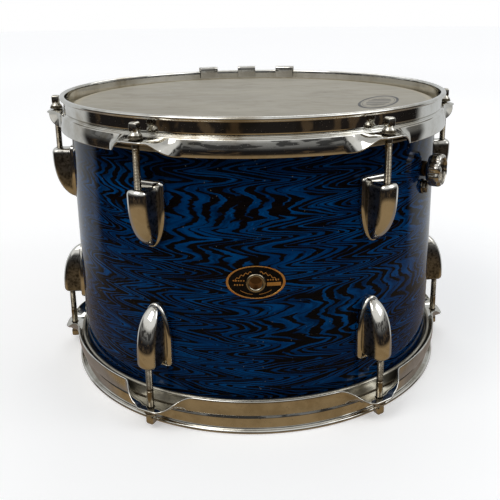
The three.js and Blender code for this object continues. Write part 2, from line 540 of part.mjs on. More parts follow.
// ---------------------------------------------------------------- damper
function addMuffler() {
  const plateFront = PLY_INNER * Math.cos(Math.asin(BRACKET_HALF_WIDTH / PLY_INNER)) - 2 * GAP;
  const plateBack = plateFront - BRACKET_SHEET;
  const pivotRadius = plateBack - PIVOT_STAND;
  const armBottom = PIVOT_Z - ARM_SHEET / 2; // when the arm is up
  const camRadius = pivotRadius - CAM_DISTANCE;
  const at = (name, geometry, material) => add(name, geometry, material, MUFFLER_AZIMUTH);

  const knobBack = SEAT_RADIUS + Math.max(BUSH_HEIGHT, BOLT_HEIGHT) + KNOB_CLEARANCE;
  const knobFront = knobBack + KNOB_THICKNESS;
  const knob = new THREE.Shape();
  const fluteAngle = (i) => (i * Math.PI) / KNOB_FLUTES;
  for (let i = 0; i < 2 * KNOB_FLUTES; i++) {
    const r = i % 2 ? KNOB_RADIUS - FLUTE_DEPTH : KNOB_RADIUS;
    knob[i ? "lineTo" : "moveTo"](r * Math.cos(fluteAngle(i)), SHAFT_Z + r * Math.sin(fluteAngle(i)));
  }
  const socket = outwardBar(SHAFT_RADIUS + GAP, knobBack - 1, knobBack + KNOB_THICKNESS / 2, SHAFT_Z);
  at("muffler_knob", cut(plate(knob, knobBack, knobFront), socket), "chrome");

  const snail = new THREE.Shape();
  const camSteps = 18;
  for (let i = 0; i <= camSteps; i++) {
    const swept = (i / camSteps) * rad(CAM_TURN);
    const r = CAM_RADIUS + (CAM_LIFT * i) / camSteps;
    const angle = Math.PI / 2 + swept;
    snail[i ? "lineTo" : "moveTo"](r * Math.cos(angle), SHAFT_Z + r * Math.sin(angle));
  }
  const cam = plate(snail, camRadius - CAM_THICKNESS / 2, camRadius + CAM_THICKNESS / 2);
  const shaft = outwardBar(SHAFT_RADIUS, camRadius, knobBack + KNOB_THICKNESS / 2 - GAP, SHAFT_Z);
  at("muffler_cam_shaft", join(cam, shaft), "steel");

  const bush = turned([
    [SHAFT_RADIUS + GAP, plateFront + GAP],
    [BUSH_NECK, plateFront + GAP],
    [BUSH_NECK, SEAT_RADIUS],
    [BUSH_RADIUS, SEAT_RADIUS],
    [BUSH_RADIUS - 0.8, SEAT_RADIUS + BUSH_HEIGHT],
    [SHAFT_RADIUS + GAP, SEAT_RADIUS + BUSH_HEIGHT],
  ]);
  at("muffler_bush", bush.rotateX(Math.PI / 2).translate(0, 0, SHAFT_Z), "bronze");

  const boltFlange = outwardBar(BOLT_RADIUS, SEAT_RADIUS, SEAT_RADIUS + 1.4, BOLT_Z);
  const boltHead = outwardBar(BOLT_RADIUS - 1.4, SEAT_RADIUS, SEAT_RADIUS + BOLT_HEIGHT, BOLT_Z, 6);
  const boltShank = outwardBar(BOLT_SHANK, plateBack - 3, SEAT_RADIUS + 1, BOLT_Z);
  at("muffler_bolt", join(boltFlange, boltHead, boltShank), "bronze");

  const low = BOLT_Z - BRACKET_MARGIN;
  const sheet = new THREE.BoxGeometry(2 * BRACKET_HALF_WIDTH, BRACKET_SHEET, BRACKET_TOP - low);
  sheet.translate(0, -(plateFront + plateBack) / 2, (low + BRACKET_TOP) / 2);
  const earInner = ARM_HALF_WIDTH + 2 * GAP;
  const earDepth = PIVOT_STAND + EYE_OUTER + 1 + BRACKET_SHEET / 2;
  const ears = [-1, 1].map((side) =>
    new THREE.BoxGeometry(BRACKET_SHEET, earDepth, 2 * EYE_OUTER + 2).translate(
      side * (earInner + BRACKET_SHEET / 2),
      -(plateBack + BRACKET_SHEET / 2 - earDepth / 2),
      PIVOT_Z,
    ),
  );
  const pinBar = (radius, halfLength) =>
    turned([[0, -halfLength], [radius, -halfLength], [radius, halfLength], [0, halfLength]])
      .rotateY(Math.PI / 2)
      .translate(0, -pivotRadius, PIVOT_Z);
  const bracket = cut(
    join(sheet, ...ears),
    outwardBar(SHAFT_RADIUS + 2 * GAP, plateBack - 1, plateFront + 1, SHAFT_Z),
    outwardBar(BOLT_SHANK + GAP, plateBack - 1, plateFront + 1, BOLT_Z),
    pinBar(PIVOT_RADIUS + GAP, BRACKET_HALF_WIDTH),
  );
  at("muffler_bracket", bracket, "steel");
  at("muffler_pivot_pin", pinBar(PIVOT_RADIUS, earInner + BRACKET_SHEET + 1), "steel");

  const padTop = HEIGHT - FILM_DEPTH - FILM_THICKNESS - 2 * GAP; // when the arm is up
  const padBottom = padTop - PAD_THICKNESS;
  const plateTop = padBottom - GAP;
  const padCentre = pivotRadius - PAD_DISTANCE;
  const riser = padCentre + RISER_OFFSET;
  const [armTop, plateUnder] = [armBottom + ARM_SHEET, plateTop - ARM_SHEET];
  const arm = strip(
    [
      [pivotRadius - EYE_INNER - 0.5, armBottom],
      [pivotRadius - EYE_INNER - 0.5, armTop],
      [riser + ARM_SHEET, armTop],
      [riser + ARM_SHEET, plateUnder + ARM_SHEET / 2],
      [riser, plateUnder + ARM_SHEET / 2],
      [riser, armBottom],
    ],
    2 * ARM_HALF_WIDTH,
  );
  const eye = pinBar(EYE_OUTER, ARM_HALF_WIDTH);
  const disc = (radius, from, to, sides) =>
    turned([[0, from], [radius, from], [radius, to], [0, to]], sides).translate(0, -padCentre, 0);
  const lowered = (geometry) =>
    geometry
      .translate(0, pivotRadius, -PIVOT_Z)
      .rotateX(-rad(ARM_TURN))
      .translate(0, -pivotRadius, PIVOT_Z);
  const padPlate = disc(PAD_PLATE_RADIUS, plateUnder, plateTop, 16);
  const raisedArm = cut(join(arm, eye, padPlate), pinBar(EYE_INNER, BRACKET_HALF_WIDTH));
  at("muffler_arm", lowered(raisedArm), "steel");
  at("muffler_felt_pad", lowered(disc(PAD_RADIUS, padBottom, padTop, 20)), "felt");
}

// ---------------------------------------------------------------- rim clips
function addClips() {
  const inner = WALL_TOP_RADIUS - HOOP_SHEET - (WALL_LEAN * CLIP_INNER_LEG) / WALL_FOOT;
  const outer = WALL_TOP_RADIUS + RIM_BEAD_REACH;
  const inside = inner * Math.cos(Math.asin(CLIP_WIDTH / 2 / inner)) - 3 * GAP;
  const outside = outer + GAP;
  const under = HEIGHT + CLIP_RISE - CLIP_SHEET;
  const bend = 1.6;
  const outline = [
    [inside - CLIP_SHEET, HEIGHT - CLIP_INNER_LEG],
    [inside, HEIGHT - CLIP_INNER_LEG],
    [inside, under],
    [outside, under],
    [outside, HEIGHT - CLIP_OUTER_LEG],
    [outside + CLIP_SHEET, HEIGHT - CLIP_OUTER_LEG],
    [outside + CLIP_SHEET, under + CLIP_SHEET - bend],
    [outside + CLIP_SHEET - bend, under + CLIP_SHEET],
    [inside - CLIP_SHEET + bend, under + CLIP_SHEET],
    [inside - CLIP_SHEET, under + CLIP_SHEET - bend],
  ];
  const rearGap = FIRST_ROD + (360 / RODS) * (RODS / 2 - 0.5);
  for (let i = 0; i < CLIPS; i++) {
    const azimuth = rearGap + (i - (CLIPS - 1) / 2) * CLIP_SPACING;
    add("rim_clip_" + (i + 1), strip(outline, CLIP_WIDTH), "chrome", azimuth);
  }
}

addShell();
addHead("batter", true);
addHead("resonant", false);
addHoop("batter", true);
addHoop("resonant", false);
addTensioning();
addBadge();
addMuffler();
addClips();

export default part;
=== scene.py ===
import json
import math

import bmesh
import bpy
import numpy as np
from mathutils import Matrix, Vector


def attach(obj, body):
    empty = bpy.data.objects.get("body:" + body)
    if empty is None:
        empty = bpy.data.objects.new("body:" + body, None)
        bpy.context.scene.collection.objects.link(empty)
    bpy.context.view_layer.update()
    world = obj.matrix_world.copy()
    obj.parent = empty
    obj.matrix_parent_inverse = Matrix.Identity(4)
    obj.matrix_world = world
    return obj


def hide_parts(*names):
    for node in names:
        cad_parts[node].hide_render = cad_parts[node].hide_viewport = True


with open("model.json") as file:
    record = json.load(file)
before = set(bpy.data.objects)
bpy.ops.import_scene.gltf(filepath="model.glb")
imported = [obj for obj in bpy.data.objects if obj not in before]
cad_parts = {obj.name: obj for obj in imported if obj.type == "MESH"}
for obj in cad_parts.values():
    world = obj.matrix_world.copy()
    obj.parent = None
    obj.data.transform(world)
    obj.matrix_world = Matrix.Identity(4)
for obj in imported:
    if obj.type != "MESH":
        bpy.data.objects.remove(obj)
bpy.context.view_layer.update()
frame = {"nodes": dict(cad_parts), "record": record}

# ---------------------------------------------------------------- driving dimensions
MM = 0.001
AXIS = 0.001  # a profile that is turned stays this far off its axis
HEIGHT = 247.6  # from rim to rim
SHELL_RADIUS = 164.8  # over the covering
WRAP_THICKNESS = 0.6
WRAP_SETBACK = 13.5  # the covering's end, as a depth below the rim
SHEET = 1.6  # of the hoops
HOOP_RADIUS = 172.0  # outer foot of the hoops' ledge
EAR_HALF = 6.5  # flat half width of the ear under a rod
SCALLOP_END = 33.0  # the ear has turned into the skirt at this distance from the rod

RODS = 6  # each end
ROD_STEP = 360 // RODS
FIRST_ROD = 32.5  # azimuth
ROD_CIRCLE = 180.5
ROD_RADIUS = 2.75
ROD_HOLE = 3.4
ROD_TIP = 75.74  # depth below the rim
THREAD_PITCH = 25.4 / 24
HEAD_HALF = 3.2  # half the square of a rod's head

SEAT_RADIUS = 165.1  # where the lugs touch the covering
LUG_START = 49.2  # depth below the rim
LUG_HALF = 13.0
LUG_LENGTH = 52.0
LUG_STRAIGHT = 20.0  # the flange is straight up to here and a half ellipse beyond

BADGE_Z = 123.8
BADGE_HALF = (22.0, 13.0)
VENT_RADIUS = 6.3
MUFFLER_AZIMUTH = 57.5
SHAFT_Z = 189.75
BOLT_Z = 174.75
PAD_RADIUS = 17.0
PAD_HALF = 3.5
CLIP_SHEET = 1.2
CLIP_HALF = 10.0
CLIPS = (167.5, 182.5, 197.5)  # azimuths
BODY_OF = {node: body for body, nodes in frame["record"]["behaviour"]["bodies"].items() for node in nodes}


# ---------------------------------------------------------------- mesh helpers
def loft(rings, endless=False):
    """A surface through closed rings of points, as (points, faces), with capped ends unless it is endless."""
    rings = np.asarray(rings, float)
    count, size = rings.shape[:2]
    faces = []
    for i in range(count if endless else count - 1):
        ahead = (i + 1) % count
        for k in range(size):
            beside = (k + 1) % size
            faces.append((i * size + k, i * size + beside, ahead * size + beside, ahead * size + k))
    if not endless:
        faces.append(tuple(range(size - 1, -1, -1)))
        faces.append(tuple((count - 1) * size + k for k in range(size)))
    return rings.reshape(-1, 3), faces


def lathe(profile, steps):
    """A closed [radius, z] profile turned about Z, endless round the axis."""
    profile = np.asarray(profile, float)
    angle = np.linspace(0, 2 * np.pi, steps, endpoint=False)
    rings = [np.c_[profile[:, 0] * math.sin(a), -profile[:, 0] * math.cos(a), profile[:, 1]] for a in angle]
    return loft(rings, endless=True)


def rod_bar(radius, start, end, steps):
    """A plain round bar along Z."""
    return lathe([(AXIS, start), (radius, start), (radius, end), (AXIS, end)], steps)


def moved(shape, x=0.0, y=0.0, z=0.0):
    points, faces = shape
    return points + (x, y, z), faces


def turn(shape, azimuth):
    """A shape turned about Z."""
    points, faces = shape
    c, s = math.cos(math.radians(azimuth)), math.sin(math.radians(azimuth))
    x, y, z = points.T
    return np.c_[c * x - s * y, s * x + c * y, z], faces


def outward(shape, z, azimuth=0.0):
    """A shape with its z taken as radius from the drum's axis, laid along the outward direction at a height."""
    points, faces = shape
    points = np.c_[points[:, 0], -points[:, 2], points[:, 1] + z]
    return turn((points, faces), azimuth)


def at_upper_end(shape):
    """A shape made with depths below the rim, placed under the upper rim."""
    points, faces = shape
    points = points * (1, 1, -1) + (0, 0, HEIGHT)
    return points, [f[::-1] for f in faces]


def merged(*shapes):
    points, faces, start = [], [], 0
    for p, f in shapes:
        points.append(p)
        faces += [tuple(i + start for i in face) for face in f]
        start += len(p)
    return np.concatenate(points), faces


def fillet(points, radii, steps):
    """The open line of points with each inner corner rounded to its own radius."""
    points = [np.array(p, float) for p in points]
    out = [points[0]]
    for i, radius in enumerate(radii, 1):
        out += corner(points[i - 1], points[i], points[i + 1], radius, steps)
    out.append(points[-1])
    return np.array(out)


def rounded(points, radii, steps):
    """The closed polygon of points with its corners rounded, all alike or each to its own radius."""
    points = [np.array(p, float) for p in points]
    radii = radii if isinstance(radii, list) else [radii] * len(points)
    out = []
    for i, radius in enumerate(radii):
        out += corner(points[i - 1], points[i], points[(i + 1) % len(points)], radius, steps)
    return np.array(out)


def corner(before, at, after, radius, steps):
    """Points of the arc that rounds one corner; a nearly straight one gets evenly spaced points."""
    a, b = before - at, after - at
    length_a, length_b = np.linalg.norm(a), np.linalg.norm(b)
    if radius <= 0:
        return [at]
    a, b = a / length_a, b / length_b
    half = math.acos(max(-1, min(1, float(a @ b)))) / 2
    if half > math.pi / 2 - 2e-3:
        reach = 0.2 * min(length_a, length_b)
        return [at + (a if t < 0 else b) * abs(t) * reach for t in np.linspace(-1, 1, steps + 1)]
    cut = min(radius / math.tan(half), 0.49 * length_a, 0.49 * length_b)
    radius = cut * math.tan(half)
    centre = at + (a + b) / np.linalg.norm(a + b) * (radius / math.sin(half))
    start, end = at + a * cut - centre, at + b * cut - centre
    span = math.pi - 2 * half
    out = []
    for t in np.arange(steps + 1) / steps:
        out.append(centre + (math.sin((1 - t) * span) * start + math.sin(t * span) * end) / math.sin(span))
    return out


def sides_of(line):
    """Unit directions along a line of 2-D points and to its left."""
    along = np.gradient(line, axis=0)
    along /= np.linalg.norm(along, axis=1)[:, None]
    return along, np.c_[-along[:, 1], along[:, 0]]


def shaded(bm, sharp):
    """Smooth faces, with the edges sharper than a limit in degrees kept hard."""
    limit = math.radians(sharp)
    for face in bm.faces:
        face.smooth = True
    for edge in bm.edges:
        edge.smooth = len(edge.link_faces) == 2 and edge.calc_face_angle(0) < limit


def mesh_of(name, shape, sharp=40.0):
    points, faces = shape
    mesh = bpy.data.meshes.new(name)
    mesh.from_pydata((np.asarray(points) * MM).tolist(), [], faces)
    bm = bmesh.new()
    bm.from_mesh(mesh)
    bmesh.ops.remove_doubles(bm, verts=bm.verts, dist=1e-7)
    bmesh.ops.recalc_face_normals(bm, faces=bm.faces)
    shaded(bm, sharp)
    bm.to_mesh(mesh)
    bm.free()
    return mesh


def boolean(mesh, tools, operation="DIFFERENCE", sharp=40.0):
    """The mesh with each tool shape cut from it or joined to it."""
    body = bpy.data.objects.new("work", mesh)
    bpy.context.scene.collection.objects.link(body)
    helpers = []
    for tool in tools:
        helper = bpy.data.objects.new("tool", mesh_of("tool", tool))
        bpy.context.scene.collection.objects.link(helper)
        helpers.append(helper)
        modifier = body.modifiers.new("cut", "BOOLEAN")
        modifier.operation, modifier.object, modifier.solver = operation, helper, "EXACT"
    result = bpy.data.meshes.new_from_object(body.evaluated_get(bpy.context.evaluated_depsgraph_get()))
    for obj in [body, *helpers]:
        old = obj.data
        bpy.data.objects.remove(obj)
        bpy.data.meshes.remove(old)
    bm = bmesh.new()
    bm.from_mesh(result)
    bmesh.ops.remove_doubles(bm, verts=bm.verts, dist=2e-6)
    shaded(bm, sharp)
    bm.to_mesh(result)
    bm.free()
    result.materials.clear()
    return result


def mirror_to_upper_end(mesh):
    """The same turn-over as at_upper_end, for a finished mesh."""
    mesh.transform(Matrix.Diagonal((1, 1, -1, 1)))
    mesh.transform(Matrix.Translation((0, 0, HEIGHT * MM)))
    mesh.flip_normals()


def piece(name, mesh, material, slot, *nodes, azimuth=0.0, body=None):
    """One visual piece on its body; the CAD nodes named are the ones that it replaces."""
    if isinstance(mesh, tuple):
        mesh = mesh_of(name, mesh)
    obj = bpy.data.objects.new(name, mesh)
    bpy.context.scene.collection.objects.link(obj)
    if not mesh.materials:
        mesh.materials.append(material)
    obj.matrix_world = Matrix.Rotation(math.radians(azimuth), 4, "Z")
    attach(obj, body or BODY_OF[nodes[0]])
    if nodes:
        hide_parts(*nodes)
    return obj


# ---------------------------------------------------------------- material helpers
class Nodes:
    """A node tree, with short calls that add nodes to it and give back their output."""

    def __init__(self, tree):
        self.tree = tree

    def add(self, kind, inputs=(), out=0, **settings):
        node = self.tree.nodes.new("ShaderNode" + kind)
        for key, value in settings.items():
            setattr(node, key, value)
        for key, value in dict(inputs).items():
            self.put(node.inputs[key], value)
        return node.outputs[out]

    def put(self, socket, value):
        """A link to the socket, or a constant set on it; a colour of three values gets a full alpha."""
        if isinstance(value, bpy.types.NodeSocket):
            self.tree.links.new(value, socket)
        elif hasattr(socket.default_value, "__len__") and len(socket.default_value) == 4 and len(value) == 3:
            socket.default_value = (*value, 1)
        else:
            socket.default_value = value

    def place(self):
        return self.add("TexCoord", out="Object")

    def scaled(self, vector, scale, turn=(0, 0, 0), shift=(0, 0, 0)):
        return self.add("Mapping", {"Vector": vector, "Scale": scale, "Rotation": turn, "Location": shift})

    def noise(self, vector, scale, detail=3.0, roughness=0.5, distortion=0.0):
        inputs = {"Vector": vector, "Scale": scale, "Detail": detail, "Roughness": roughness}
        return self.add("TexNoise", {**inputs, "Distortion": distortion})

    def stretched(self, vector, scales, detail, roughness, turn=(0, 0, 0), distortion=0.0):
        """Noise with its own scale along each axis, after a turn in radians."""
        return self.noise(self.scaled(vector, scales, turn), 1.0, detail, roughness, distortion)

    def math(self, operation, a, b=0.0):
        return self.add("Math", {0: a, 1: b}, operation=operation)

    def times(self, first, *others):
        for other in others:
            first = self.math("MULTIPLY", first, other)
        return first

    def plus(self, first, *others):
        for other in others:
            first = self.math("ADD", first, other)
        return first

    def length(self, x, y):
        return self.math("SQRT", self.plus(self.times(x, x), self.times(y, y)))

    def span(self, value, low, high, to_low=0.0, to_high=1.0, smooth=True):
        """The value's place between two limits, as a number from to_low to to_high."""
        inputs = {"Value": value, "From Min": low, "From Max": high, "To Min": to_low, "To Max": to_high}
        return self.add("MapRange", inputs, interpolation_type="SMOOTHSTEP" if smooth else "LINEAR")

    def mix(self, factor, a, b):
        node = self.tree.nodes.new("ShaderNodeMix")
        node.data_type = "RGBA"
        for index, value in ((0, factor), (6, a), (7, b)):  # the node's inputs for colours
            self.put(node.inputs[index], value)
        return node.outputs[2]

    def tint(self, colour, amount, mask, other):
        """The colour with some of another one where the mask is."""
        return self.mix(self.times(mask, amount), colour, other)

    def split(self, vector):
        node = self.tree.nodes.new("ShaderNodeSeparateXYZ")
        self.put(node.inputs[0], vector)
        return node.outputs

    def bump(self, height, strength, distance):
        return self.add("Bump", {"Height": height, "Strength": strength, "Distance": distance})


class Shader(Nodes):
    """The nodes of a new material with one Principled shader. Its noise scales are per metre."""

    def __init__(self, name):
        self.material = bpy.data.materials.new(name)
        self.material.use_nodes = True
        super().__init__(self.material.node_tree)

    def set(self, **inputs):
        for key, value in inputs.items():
            self.put(self.tree.nodes["Principled BSDF"].inputs[key.replace("_", " ")], value)


def linear(r, g, b):
    """A shader's colour from a screen's 0 to 255."""
    shares = (r / 255, g / 255, b / 255)
    return tuple(c / 12.92 if c <= 0.04045 else ((c + 0.055) / 1.055) ** 2.4 for c in shares)


# ---------------------------------------------------------------- materials
def metal(name, bright, dull, rough, pits, grain=1.0, tarnish=None, scratch=0.25, relief=0.18, painted_flank_shade=False):
    """Plated or bare metal: clouded polish, pits, brown bloom and fine scratches; the sides of a lug's nose get
    painted shade and a duller finish.
    """
    s = Shader(name)
    place = s.place()
    cloud = s.noise(place, 38 * grain, 4, 0.6)
    fine = s.noise(place, 420 * grain, 3, 0.6)
    bloom = s.span(s.noise(place, 16 * grain, 5, 0.65, 0.6), 0.56, 0.72)
    pit = s.span(s.noise(place, 900 * grain, 2, 0.5), 0.66, 0.74)
    streak = s.stretched(place, (900 * grain, 900 * grain, 60 * grain), 2, 0.5, turn=(0.3, 0.5, 0.2))
    colour = s.mix(s.span(cloud, 0.38, 0.72), bright, dull)
    colour = s.tint(colour, 0.55, bloom, tarnish or dull)
    colour = s.tint(colour, pits, pit, (0.03, 0.025, 0.02))
    worn = s.plus(s.span(cloud, 0.3, 0.8, rough, rough * 2.1), s.times(pit, 0.35))
    worn = s.plus(worn, s.times(s.span(streak, 0.58, 0.75), scratch * 0.3))
    height = s.plus(s.times(fine, 0.35), s.times(pit, -0.8), s.times(streak, 0.3))
    if painted_flank_shade:
        # painted shade: the sides of a lug's nose are darkened towards dark grey and made rougher
        nose_side_shade = lug_side_shade_mask(s, place)
        colour = s.mix(s.times(nose_side_shade, s.span(fine, 0.3, 0.62, 0.96, 0.62)), colour, linear(58, 56, 52))
        worn = s.plus(worn, s.times(nose_side_shade, 0.26))
    s.set(Base_Color=colour, Metallic=1.0, Roughness=worn, Normal=s.bump(height, relief, 0.00012))
    return s.material


def lug_side_shade_mask(s, place):
    """1 on the sides of a lug's nose, between its flange and its crown, where painted shade goes. Metres, in
    the lug's own place.
    """
    x, y, _ = s.split(place)
    seat = -SEAT_RADIUS * MM
    aside = s.span(s.math("ABSOLUTE", x), 0.0066, 0.0080)
    below_crown, above_flange = s.span(y, seat - 0.0195, seat - 0.0165), s.span(y, seat - 0.0046, seat - 0.0056)
    return s.times(aside, below_crown, above_flange)


def marbling(s, u, v):
    """Ink and blue of the covering. Streaks stand upright and are sheared to and fro into rows of chevrons,
    so that they run round the shell. u and v are metres round the shell and up it."""
    stroke, comb_width = 0.0072, 0.0060

    def field(across, up, seed, along=u, detail=2.0, rough=0.5):
        x, y = s.times(along, across), s.times(v, up)
        return s.noise(s.add("CombineXYZ", {"X": x, "Y": y, "Z": seed}), 1.0, detail, rough)

    def swing(noise, reach):
        return s.times(s.math("SUBTRACT", noise, 0.5), reach)

    phase = s.plus(s.times(v, 1 / stroke), swing(field(5, 6, 3.1), 2.4), swing(field(13, 50, 7.7), 1.5))
    zigzag = s.span(s.math("PINGPONG", phase, 1.0), 0.08, 0.92, smooth=False)
    shear = swing(zigzag, s.span(field(7, 30, 11.3), 0.34, 0.66, 0.006, 0.052))
    slow, ragged = swing(field(9, 40, 5.5), 0.06), swing(field(60, 420, 2.2), 0.0080)
    along = s.plus(s.plus(u, shear), s.plus(slow, ragged))
    lean = s.times(field(30, 12, 1.0, along, detail=1), 2.2)
    comb = s.math("PINGPONG", s.plus(s.times(along, 1 / comb_width), lean), 1.0)
    breaks, broad = field(80, 75, 21.0, along, rough=0.55), field(24, 34, 26.0, along)
    ink = s.span(s.plus(s.times(comb, 0.42), s.times(breaks, 1.15), s.times(broad, 0.50)), 1.000, 1.070)

    shade = s.span(field(130, 60, 9.0, along, detail=3, rough=0.6), 0.34, 0.68)
    blue = s.mix(shade, linear(0, 22, 48), linear(0, 56, 102))
    blue = s.tint(blue, 0.6, s.span(field(24, 30, 14.0), 0.36, 0.66), linear(0, 30, 66))
    blue = s.tint(blue, 0.5, s.span(field(300, 150, 31.0, along), 0.62, 0.72), linear(2, 62, 112))
    dark = s.mix(field(90, 400, 17.0), linear(2, 2, 4), linear(15, 9, 6))
    return s.mix(ink, blue, dark)


def wrap_material():
    """Glossy marbled covering with painted shade under the upper hoop, dust and hairline scratches."""
    s = Shader("shell_covering_blue")
    u, v, _ = s.split(s.add("UVMap", uv_map="around"))
    place = s.place()
    # painted shade: the colour is mixed towards near black towards the upper hoop, for the hoop's shadow
    colour = s.mix(s.span(v, 0.185, 0.218, 0.0, 0.70), marbling(s, u, v), linear(1, 3, 10))
    colour = s.tint(colour, 0.45, s.span(s.noise(place, 520, 2, 0.5), 0.735, 0.77), linear(120, 118, 110))
    wave = s.stretched(place, (26, 26, 12), 2, 0.5)
    scratch = s.stretched(place, (700, 700, 90), 2, 0.5, turn=(0.35, 0.1, 0.6))
    height = s.plus(wave, s.times(s.span(scratch, 0.68, 0.8), 0.05))
    s.set(Base_Color=colour, Roughness=s.span(s.noise(place, 60, 4, 0.6), 0.3, 0.8, 0.04, 0.10))
    s.set(IOR=1.27, Specular_IOR_Level=0.34, Specular_Tint=(0.30, 0.50, 0.80))
    s.set(Normal=s.bump(height, 0.12, 0.0006))
    return s.material


def film_material(name, marked):
    """Coated drumhead film: grey-beige, rubbed and smudged, paler on its collar."""
    s = Shader(name)
    place = s.place()
    x, y, _ = s.split(place)
    cloud = s.stretched(place, (9, 14, 9), 5, 0.62, (0, 0, 0.35), 0.5)
    stain = s.stretched(place, (28, 60, 28), 5, 0.65, (0, 0, 0.25), 0.8)
    fleck = s.noise(place, 190, 3, 0.6)
    scuff = s.stretched(place, (60, 520, 60), 3, 0.6, (0, 0, 0.12))
    collar = s.span(s.length(x, y), 0.1535, 0.160)
    colour = s.mix(s.span(cloud, 0.32, 0.72), linear(156, 150, 134), linear(140, 134, 119))
    colour = s.tint(colour, 0.5, s.span(stain, 0.55, 0.78), linear(108, 104, 95))
    colour = s.tint(colour, 0.5, s.span(fleck, 0.70, 0.76), linear(92, 86, 78))
    colour = s.tint(colour, 0.35, s.span(scuff, 0.64, 0.8), linear(98, 94, 88))
    colour = s.tint(colour, 0.7, collar, linear(178, 167, 142))
    if marked:
        colour = oval_mark(s, x, y, colour)
    height = s.plus(s.times(s.noise(place, 700, 3, 0.6), 0.5), s.noise(place, 2200, 2, 0.5))
    s.set(Base_Color=colour, Roughness=s.span(stain, 0.3, 0.7, 0.46, 0.62), Specular_IOR_Level=0.4)
    s.set(Normal=s.bump(height, 0.25, 0.00012))
    return s.material


def oval_mark(s, x, y, colour):
    """A printed oval with a double outline and plain slanted bars in it. Metres on the head."""
    middle_x, middle_y, half_length, half_width, bar_step = 0.1088, -0.0440, 0.041, 0.0156, 0.0052
    c, d = math.cos(math.radians(68)), math.sin(math.radians(68))
    dx, dy = s.math("SUBTRACT", x, middle_x), s.math("SUBTRACT", y, middle_y)
    a, b = s.plus(s.times(dx, c), s.times(dy, d)), s.math("SUBTRACT", s.times(dy, c), s.times(dx, d))
    oval = s.length(s.math("DIVIDE", a, half_length), s.math("DIVIDE", b, half_width))
    ring = s.times(s.span(oval, 0.86, 0.89), s.span(oval, 1.02, 0.99))
    inner = s.times(s.span(oval, 0.77, 0.79), s.span(oval, 0.825, 0.805))
    bars = s.math("PINGPONG", s.math("DIVIDE", s.plus(a, s.times(b, 0.35)), bar_step), 1.0)
    field = s.times(s.span(oval, 0.64, 0.60), s.span(bars, 0.36, 0.46))
    ink = s.math("MAXIMUM", ring, s.math("MAXIMUM", s.times(inner, 0.6), s.times(field, 0.75)))
    worn = s.span(s.noise(s.place(), 420, 3, 0.6), 0.25, 0.45, 0.6, 1.0)
    return s.tint(colour, worn, ink, linear(30, 30, 34))


def wood_material():
    s = Shader("maple_ply")
    place = s.place()
    rings = s.stretched(place, (6, 6, 90), 4, 0.6, distortion=1.2)
    pores = s.stretched(place, (60, 60, 900), 3, 0.5)
    colour = s.mix(s.span(rings, 0.35, 0.7), linear(186, 142, 92), linear(140, 98, 58))
    colour = s.tint(colour, 0.4, s.span(pores, 0.6, 0.75), linear(84, 54, 30))
    s.set(Base_Color=colour, Roughness=s.span(rings, 0.3, 0.7, 0.45, 0.62), Normal=s.bump(pores, 0.3, 0.0002))
    s.set(Emission_Color=colour, Emission_Strength=0.22)  # stands for daylight that comes through the heads
    return s.material


def felt_material():
    s = Shader("wool_felt")
    fibre = s.stretched(s.place(), (900, 900, 500), 4, 0.7, distortion=1.5)
    colour = s.mix(s.span(fibre, 0.3, 0.7), linear(204, 198, 180), linear(172, 164, 144))
    s.set(Base_Color=colour, Roughness=0.95, Sheen_Weight=0.4, Normal=s.bump(fibre, 0.6, 0.0006))
    return s.material


def enamel_material():
    s = Shader("badge_black_enamel")
    mottle = s.noise(s.place(), 300, 4, 0.6)
    colour = s.mix(s.span(mottle, 0.4, 0.75), linear(6, 5, 5), linear(18, 14, 11))
    s.set(Base_Color=colour, Roughness=s.span(mottle, 0.3, 0.7, 0.26, 0.4), Specular_IOR_Level=0.14)
    s.set(Normal=s.bump(mottle, 0.1, 0.0001))
    return s.material


CHROME = metal("hoop_chrome_plate", linear(214, 213, 208), linear(184, 180, 170), 0.035, 0.6,
               tarnish=linear(150, 136, 110), scratch=0.2, relief=0.05)
LUG_CHROME = metal("lug_chrome_plate", linear(222, 221, 216), linear(198, 193, 182), 0.02, 0.4,
                   tarnish=linear(176, 164, 138), scratch=0.12, relief=0.035, painted_flank_shade=True)
CLIP_CHROME = metal("clip_chrome_plate", linear(214, 213, 210), linear(180, 177, 170), 0.04, 0.3, relief=0.05)
VENT_CHROME = metal("vent_nickel_plate", linear(206, 200, 186), linear(150, 140, 118), 0.14, 0.3)
KNOB_CHROME = metal("knob_worn_plate", linear(200, 197, 190), linear(136, 130, 118), 0.09, 0.9, 1.6,
                    tarnish=linear(110, 100, 80), scratch=0.5)
ROD_STEEL = metal("rod_plated_steel", linear(158, 150, 134), linear(98, 90, 76), 0.15, 0.6, 1.4,
                  tarnish=linear(96, 82, 58))
ROD_CAP = metal("rod_head_plate", linear(190, 186, 176), linear(110, 106, 98), 0.09, 0.6, 1.4,
                tarnish=linear(84, 76, 62))
WASHER = metal("washer_dark_steel", linear(128, 120, 104), linear(66, 60, 50), 0.26, 0.8, 1.6)
ALUMINIUM = metal("flesh_hoop_aluminium", linear(172, 168, 156), linear(132, 127, 114), 0.30, 0.45,
                  tarnish=linear(120, 112, 92))
BRASS = metal("nut_brass", linear(196, 160, 90), linear(140, 108, 56), 0.25, 0.4)
GILT = metal("badge_brass", linear(236, 180, 104), linear(200, 140, 70), 0.42, 0.4, 2.0)
BOLT_STEEL = metal("muffler_bolt_plate", linear(150, 144, 132), linear(84, 76, 62), 0.16, 0.8, 1.6)
STEEL = metal("muffler_steel_plate", linear(150, 146, 138), linear(110, 104, 94), 0.3, 0.5)
BRONZE = metal("muffler_dark_bronze", linear(96, 76, 50), linear(44, 34, 24), 0.28, 0.7, 1.6,
               tarnish=linear(60, 46, 30))
WRAP = wrap_material()
FILM = film_material("batter_head_coated_film", True)
FILM_LOWER = film_material("resonant_head_coated_film", False)
WOOD = wood_material()
FELT = felt_material()
ENAMEL = enamel_material()


